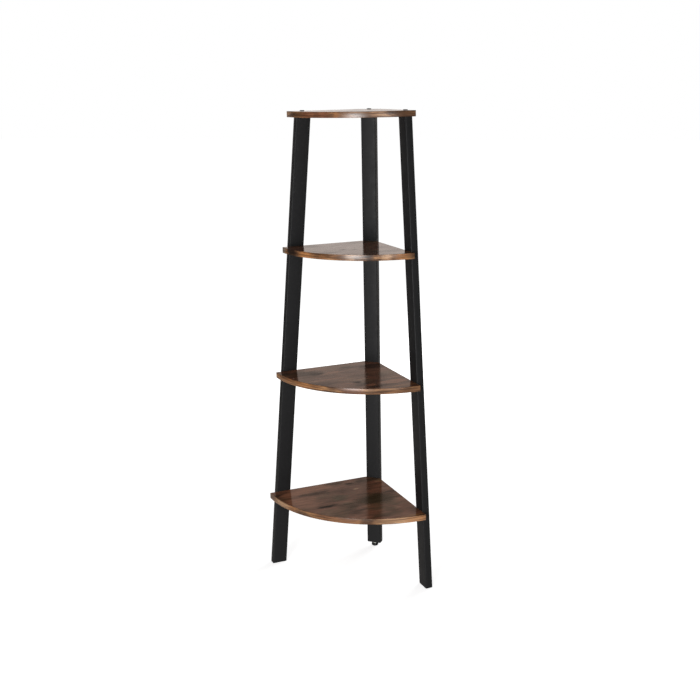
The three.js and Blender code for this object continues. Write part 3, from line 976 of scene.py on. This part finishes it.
# Satin melamine: the paper's print under a clear resin face, which mirrors the legs at a low angle.
def makeMelamine():
    material, tree = newMaterial("printedMelamine")
    place = addNode(tree, "TexCoord").outputs["Object"]
    grainTurn = math.radians(melaminePrint["grainTurn"])
    onGrain = addNode(tree, "Mapping", {"Vector": place, "Rotation": (0, 0, grainTurn)}).outputs[0]
    layer = melaminePrint["boardLayer"]

    patches = addGrain(tree, onGrain, melaminePrint["patch"], layer, distortion=0.3)
    wood = addNode(tree, "ValToRGB", [patches], stops=melaminePrint["shades"]).outputs[0]
    olivePatches = addGrain(tree, onGrain, melaminePrint["olivePatch"], layer, distortion=0.4)
    olive = addNode(tree, "MapRange", [
        olivePatches, *melaminePrint["oliveNoise"], 0.0, melaminePrint["oliveShare"]]).outputs[0]
    wood = addNode(tree, "Mix", {0: olive, 6: wood, 7: paint(tints["olive"])}, data_type="RGBA").outputs[2]

    feather = addGrain(tree, onGrain, melaminePrint["feather"], layer, detail=3, output="Color")
    wandering = addWander(tree, onGrain, feather, melaminePrint["wander"])
    marks = []
    for node, boardsOwn in boardMarks.items():
        height = nodeMiddle(node).z
        for middle, (halfLong, halfWide), tint, strength in boardsOwn:
            spot = Matrix.Rotation(grainTurn, 3, "Z") @ (corner + Vector((*middle, 0)) * mm + up * height)
            # twice a layer high, so that it covers its own board's edges and no other board
            marks.append((spot, (halfLong * mm, halfWide * mm, 2 * layer), tint, strength))
    wood = addMarks(tree, wandering, wood, marks)

    streaks = addGrain(tree, onGrain, melaminePrint["streak"], layer, detail=3, distortion=0.5)
    fibres = addGrain(tree, onGrain, melaminePrint["fibre"], layer)
    for noise, grain in ((streaks, "streak"), (fibres, "fibre")):
        shade = addNode(tree, "ValToRGB", [noise], stops=[
            (melaminePrint["darkGrain"], melaminePrint[grain + "Shade"]),
            (melaminePrint["clearGrain"], "#ffffff")]).outputs[0]
        wood = addNode(tree, "Mix", {0: melaminePrint[grain + "Share"], 6: wood, 7: shade},
                       data_type="RGBA", blend_type="MULTIPLY").outputs[2]

    pores = addGrain(tree, onGrain, melaminePrint["pore"], layer)
    pits = addNode(tree, "MapRange", [pores, *melaminePrint["poreNoise"]]).outputs[0]
    relief = addNode(tree, "Bump", {
        "Height": pits, "Distance": melaminePrint["poreDepth"], "Strength": melaminePrint["poreStrength"]})
    bright = addNode(tree, "RGBToBW", [wood]).outputs[0]
    gloss, roughness = [
        addNode(tree, "MapRange", [bright, *melaminePrint["brightness"], *melaminePrint[effect]]).outputs[0]
        for effect in ("gloss", "roughness")]
    finishMaterial(tree, addNode(tree, "BsdfPrincipled", {
        "Base Color": wood, "Roughness": roughness, "Specular IOR Level": gloss, "Normal": relief.outputs[0],
        "IOR": 1.5}))
    return material


# Raw particle board where a board is drilled: pressed chips, pale and dull.
chips = {"size": 2.2 * mm, "dark": "#8c6d49", "pale": "#cbb089", "roughness": 0.9, "depth": 0.3 * mm}


def makeParticleBoard():
    material, tree = newMaterial("rawParticleBoard")
    place = addNode(tree, "TexCoord").outputs["Object"]
    chip = addNode(tree, "TexVoronoi", {"Vector": place, "Scale": 1 / chips["size"]})
    tone = addNode(tree, "ValToRGB", [chip.outputs["Color"]], stops=[
        (0.0, chips["dark"]), (1.0, chips["pale"])]).outputs[0]
    relief = addNode(tree, "Bump", {"Height": chip.outputs["Distance"], "Distance": chips["depth"]})
    finishMaterial(tree, addNode(tree, "BsdfPrincipled", {
        "Base Color": tone, "Roughness": chips["roughness"], "Normal": relief.outputs[0]}))
    return material


# Printed ABS edge band in a lighter orange brown: its streaks run along the band. Sizes are across and
# along.
bandPrint = {
    "patch": (11 * mm, 60 * mm),
    "streak": (4.5 * mm, 110 * mm),  # several fine ones drawn as one, to show at all
    "feather": (3 * mm, 25 * mm),
    "wander": (40 * mm, 3 * mm),  # along and across
    "shades": [(0.35, "#64452d"), (0.5, "#865e3f"), (0.65, "#a37850")],
    "darkGrain": 0.36,  # the streaks' noise, from their shade to clear
    "clearGrain": 0.6,
    "streakShade": "#74665c",
    "streakShare": 0.8,
    "markHalfHeight": 21.7 * mm,  # past the band's edges, so that a mark fades along it alone
    "roughness": 0.3,
    "grainDepth": 0.02 * mm,
    "grainStrength": 0.5,
}

# Marks of the print on each front band, with a few painted highlights, in millimetres: how far round from its
# middle, half length
bandMarksAndHighlights = {
    # the pale marks at 164 and 212 mm round are painted highlights of the right fill lamp
    "bottom_shelf": [
        (-172, 36, "pale", 0.6), (-132, 18, "orange", 0.3), (-96, 20, "dark", 0.55), (10, 70, "red", 0.3),
        (92, 20, "dark", 0.6), (164, 50, "pale", 0.95), (226, 34, "orange", 1.0), (212, 40, "pale", 0.4),
        (262, 14, "grey", 0.5)],
    "middle_shelf": [
        (-200, 14, "dark", 0.2), (-92, 30, "orange", 0.45), (-158, 18, "orange", 0.3), (-6, 14, "dark", 0.5),
        (50, 32, "red", 0.55), (98, 14, "dark", 0.3), (202, 20, "dark", 0.35)],
    # the pale mark at 38 mm is a painted highlight of the front lamp, and the one at 128 mm a painted
    # highlight of the right fill lamp
    "upper_shelf": [
        (-198, 16, "grey", 0.8), (-148, 27, "black", 0.95), (-95, 24, "orange", 0.9),
        (-36, 12, "orange", 0.3), (38, 14, "pale", 0.6), (86, 12, "dark", 0.8), (128, 14, "pale", 1.0),
        (170, 18, "orange", 0.6), (206, 14, "dark", 0.5)],
    # the pale mark at 105 mm is a painted highlight of the right fill lamp
    "top_shelf": [
        (-150, 26, "dark", 0.25), (-76, 44, "red", 0.8), (-60, 12, "dark", 0.3), (-34, 12, "red", 0.6),
        (-4, 9, "orange", 0.7), (105, 20, "pale", 0.4), (142, 14, "dark", 0.5), (178, 32, "dark", 0.6)],
}


# Satin plastic: smoother than wood, with a printed grain, a few painted highlights among its marks and a soft
# sheen along the rounded edges.
def makeEdgeBand():
    material, tree = newMaterial("printedEdgeBand")
    place = addNode(tree, "UVMap", uv_map="bandMap").outputs[0]
    patches = addGrain(tree, place, bandPrint["patch"], detail=3, distortion=0.6)
    wood = addNode(tree, "ValToRGB", [patches], stops=bandPrint["shades"]).outputs[0]

    feather = addGrain(tree, place, bandPrint["feather"], detail=3, output="Color")
    wandering = addWander(tree, place, feather, bandPrint["wander"])
    marks = []
    for node, bandsOwn in bandMarksAndHighlights.items():
        height = nodeMiddle(node).z
        for along, halfLong, tint, strength in bandsOwn:
            halfSizes = (halfLong * mm, bandPrint["markHalfHeight"], 1)
            marks.append(((along * mm, height, 0), halfSizes, tint, strength))
    # lays the print's marks, and the pale painted highlights among them
    wood = addMarks(tree, wandering, wood, marks)

    streaks = addGrain(tree, place, bandPrint["streak"], detail=4, distortion=0.2)
    shade = addNode(tree, "ValToRGB", [streaks], stops=[
        (bandPrint["darkGrain"], bandPrint["streakShade"]), (bandPrint["clearGrain"], "#ffffff")]).outputs[0]
    wood = addNode(tree, "Mix", {0: bandPrint["streakShare"], 6: wood, 7: shade},
                   data_type="RGBA", blend_type="MULTIPLY").outputs[2]
    relief = addNode(tree, "Bump", {
        "Height": streaks, "Distance": bandPrint["grainDepth"], "Strength": bandPrint["grainStrength"]})
    finishMaterial(tree, addNode(tree, "BsdfPrincipled", {
        "Base Color": wood, "Roughness": bandPrint["roughness"], "Normal": relief.outputs[0], "IOR": 1.5}))
    return material


# Black powder coat, sprayed on the tubes and baked: near matt, with a fine grain that breaks up the light
powder = {
    "colour": "#1b1b1c", "metallic": 0.0, "specular": 0.2,
    "roughness": (0.46, 0.55), "grain": 0.45 * mm, "depth": 0.03 * mm,
}
# Injection-moulded black plastic: a soft even sheen over the grain of the mould
moulded = {
    "colour": "#18181a", "metallic": 0.0, "specular": 0.35,
    "roughness": (0.46, 0.55), "grain": 0.6 * mm, "depth": 0.02 * mm,
}
# Black oxide on the bolts' turned steel: smooth and dark, with glints on its rims
oxide = {
    "colour": "#4c4c4e", "metallic": 0.9, "specular": 0.5,
    "roughness": (0.14, 0.23), "grain": 0.3 * mm, "depth": 0.005 * mm,
}
# What these three have in common
blackGrain = {
    "noise": (0.3, 0.7),
    # painted shade: the grain's low places are drawn darker, as if in shadow
    "paintedPitShade": 0.85,  # brightness of the grain's low places
    "strength": 0.8,
    "glossPatch": 50,  # grains across, for the slow change of roughness
}


# A black finish over a fine grain, with shade painted into the grain's low places and its gloss slightly
# uneven.
def makeBlackFinish(name, values):
    material, tree = newMaterial(name)
    place = addNode(tree, "TexCoord").outputs["Object"]
    patch = values["grain"] * blackGrain["glossPatch"]
    grain, broad = [
        addNode(tree, "TexNoise", {"Vector": place, "Scale": 1 / size, "Detail": 2.0}).outputs["Fac"]
        for size in (values["grain"], patch)]
    gloss = addNode(tree, "MapRange", [broad, *blackGrain["noise"], *values["roughness"]]).outputs[0]
    relief = addNode(tree, "Bump", {
        "Height": grain, "Distance": values["depth"], "Strength": blackGrain["strength"]}).outputs[0]
    low, high = blackGrain["noise"]
    # painted shade: the grain's low places take a darker colour
    shadedPitColour = (*[channel * blackGrain["paintedPitShade"] for channel in paint(values["colour"])[:3]], 1)
    tone = addNode(tree, "ValToRGB", [grain], stops=[(low, shadedPitColour), (high, values["colour"])]).outputs[0]
    finishMaterial(tree, addNode(tree, "BsdfPrincipled", {
        "Base Color": tone, "Roughness": gloss, "Normal": relief, "Metallic": values["metallic"],
        "Specular IOR Level": values["specular"]}))
    return material


# Bright zinc plate: pale, slightly warm in places, with small cloudy patches
zinc = {
    "cloud": 1.4 * mm,
    "shades": [(0.35, "#a5a48f"), (0.6, "#b9bdc0")],
    "noise": (0.3, 0.7),
    "roughness": (0.36, 0.23),
}


def makeZincPlate():
    material, tree = newMaterial("brightZincPlate")
    place = addNode(tree, "TexCoord").outputs["Object"]
    clouds = addNode(tree, "TexNoise", {
        "Vector": place, "Scale": 1 / zinc["cloud"], "Detail": 3.0}).outputs["Fac"]
    tone = addNode(tree, "ValToRGB", [clouds], stops=zinc["shades"]).outputs[0]
    gloss = addNode(tree, "MapRange", [clouds, *zinc["noise"], *zinc["roughness"]]).outputs[0]
    finishMaterial(tree, addNode(tree, "BsdfPrincipled", {
        "Base Color": tone, "Roughness": gloss, "Metallic": 1.0}))
    return material


melamine = makeMelamine()
particleBoard = makeParticleBoard()
edgeBand = makeEdgeBand()
powderCoat = makeBlackFinish("blackPowderCoat", powder)
mouldedPlastic = makeBlackFinish("mouldedBlackPlastic", moulded)
blackOxide = makeBlackFinish("blackOxideSteel", oxide)
zincPlate = makeZincPlate()
print("finishes made")

letGo()
makeLegs()
print("legs made")
makeFeet()
makeGlide()
makeStud()
print("feet made")
for name, node in shelves.items():
    makeBoard(name, node)
    print(name, "made")
makeBolts()
makeBarrelNuts()
print("fastenings made")

# What is hidden in the legs' upper ends stays as the frame has it
for leg in legs:
    for part, material in (("top_plate", powderCoat), ("weld_nut", zincPlate)):
        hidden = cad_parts[f"{leg}_leg_{part}"]
        hidden.data.materials.clear()
        hidden.data.materials.append(material)


# A plain white studio: a floor that keeps a faint shadow, and soft lamps in front, to the right and behind
studio = {
    "floorSize": 40,
    "floorColour": "#e8e8e8",
    # what the camera sees of the floor besides the lamps' light: less near the unit, where its shadow falls
    "whiteReach": (0.7, 1.9),
    "glow": (0.68, 0.87),
    # the floor as glossy faces show it: pale near the unit, dim farther off, and palest behind it
    "floorNear": "#b4b0ac",
    "floorFar": "#454341",
    "dimReach": (1.4, 2.8),
    "floorBehind": "#d8d4d0",
    "behindWay": (0.36, 0.93, 0),  # on from the camera past the unit
    "behindReach": (0.2, 1.6),
    "ambient": 0.2,
    # what glossy faces show of the warm backdrop behind the unit, by height, and of the dim room in front
    "backdrop": [
        (0.0, "#fffaf6"), (0.15, "#f2e5dd"), (0.265, "#bca79b"), (0.37, "#a8978d"), (1.0, "#93887f")],
    "backdropEdge": (0.25, 0.75),  # how much a direction points back, from the room to the backdrop
    "room": "#3a3836",
}
lamps = [
    {"name": "front", "spot": (0.08, -3.7, 0.74), "aim": (0, 0, 0.7), "size": (1.1, 1.35), "power": 108,
     "mirrored": True},
    {"name": "rightFill", "spot": (2.4, -2.7, 0.9), "aim": (0, 0, 0.6), "size": (1.2, 1.4), "power": 26,
     "mirrored": True},
    # its glare would hide the boards' print from the left
    {"name": "rear", "spot": (0.9, 3.2, 1.0), "aim": (0, 0, 0.6), "size": (2.0, 1.2), "power": 75,
     "mirrored": False},
]


def makeFloor():
    bpy.ops.mesh.primitive_plane_add(size=studio["floorSize"])
    floor = settle("floor")
    material, tree = newMaterial("studioFloor")
    matt = addNode(tree, "BsdfDiffuse", {"Color": paint(studio["floorColour"])})
    rays = addNode(tree, "LightPath").outputs
    place = addNode(tree, "TexCoord").outputs["Object"]
    away = addNode(tree, "VectorMath", [place], operation="LENGTH").outputs["Value"]
    level = addNode(tree, "MapRange", [away, *studio["whiteReach"], *studio["glow"]]).outputs[0]
    glow = addNode(tree, "Emission", {"Color": (1, 1, 1, 1), "Strength": level})
    seen = addNode(tree, "AddShader", [matt.outputs[0], glow.outputs[0]])

    far = addNode(tree, "MapRange", [away, *studio["dimReach"]]).outputs[0]
    tone = addNode(tree, "Mix", {0: far, 6: paint(studio["floorNear"]), 7: paint(studio["floorFar"])},
                   data_type="RGBA").outputs[2]
    back = addNode(tree, "VectorMath", [place, studio["behindWay"]], operation="DOT_PRODUCT").outputs["Value"]
    behind = addNode(tree, "MapRange", [back, *studio["behindReach"]]).outputs[0]
    tone = addNode(tree, "Mix", {0: behind, 6: tone, 7: paint(studio["floorBehind"])},
                   data_type="RGBA").outputs[2]
    mirrored = addNode(tree, "Emission", {"Color": tone, "Strength": 1.0})
    other = addNode(tree, "MixShader", [rays["Is Glossy Ray"], matt.outputs[0], mirrored.outputs[0]])
    finishMaterial(tree, addNode(tree, "MixShader", [
        rays["Is Camera Ray"], other.outputs[0], seen.outputs[0]]))
    floor.data.materials.append(material)


def makeWorld():
    world = bpy.data.worlds.new("studio")
    bpy.context.scene.world = world
    world.use_nodes = True
    tree = world.node_tree
    tree.nodes.clear()
    rays = addNode(tree, "LightPath").outputs
    way = addNode(tree, "SeparateXYZ", [addNode(tree, "TexCoord").outputs["Generated"]]).outputs
    backdrop = addNode(tree, "ValToRGB", [way["Z"]], stops=studio["backdrop"]).outputs[0]
    behind = addNode(tree, "MapRange", [way["Y"], *studio["backdropEdge"]]).outputs[0]
    mirrored = addNode(tree, "Mix", {0: behind, 6: paint(studio["room"]), 7: backdrop},
                       data_type="RGBA").outputs[2]
    white = (1, 1, 1, 1)
    shade = (*[studio["ambient"]] * 3, 1)
    for ray, shown in (("Glossy", mirrored), ("Transmission", white), ("Camera", white)):
        shade = addNode(tree, "Mix", {0: rays[f"Is {ray} Ray"], 6: shade, 7: shown},
                        data_type="RGBA").outputs[2]
    sky = addNode(tree, "Background", {"Color": shade, "Strength": 1.0})
    addNode(tree, "OutputWorld", {"Surface": sky.outputs[0]})


def placeLamps():
    for values in lamps:
        spot, aim = Vector(values["spot"]), Vector(values["aim"])
        bpy.ops.object.light_add(type="AREA", location=spot)
        lamp = bpy.context.object
        lamp.name = values["name"] + "Lamp"
        lamp.rotation_euler = (aim - spot).to_track_quat("-Z", "Y").to_euler()
        lamp.data.shape = "RECTANGLE"
        lamp.data.size, lamp.data.size_y = values["size"]
        lamp.data.energy = values["power"]
        lamp.visible_camera = False
        lamp.visible_glossy = values["mirrored"]


makeFloor()
makeWorld()
placeLamps()
bpy.context.scene.view_settings.view_transform = "Standard"
print("studio set")
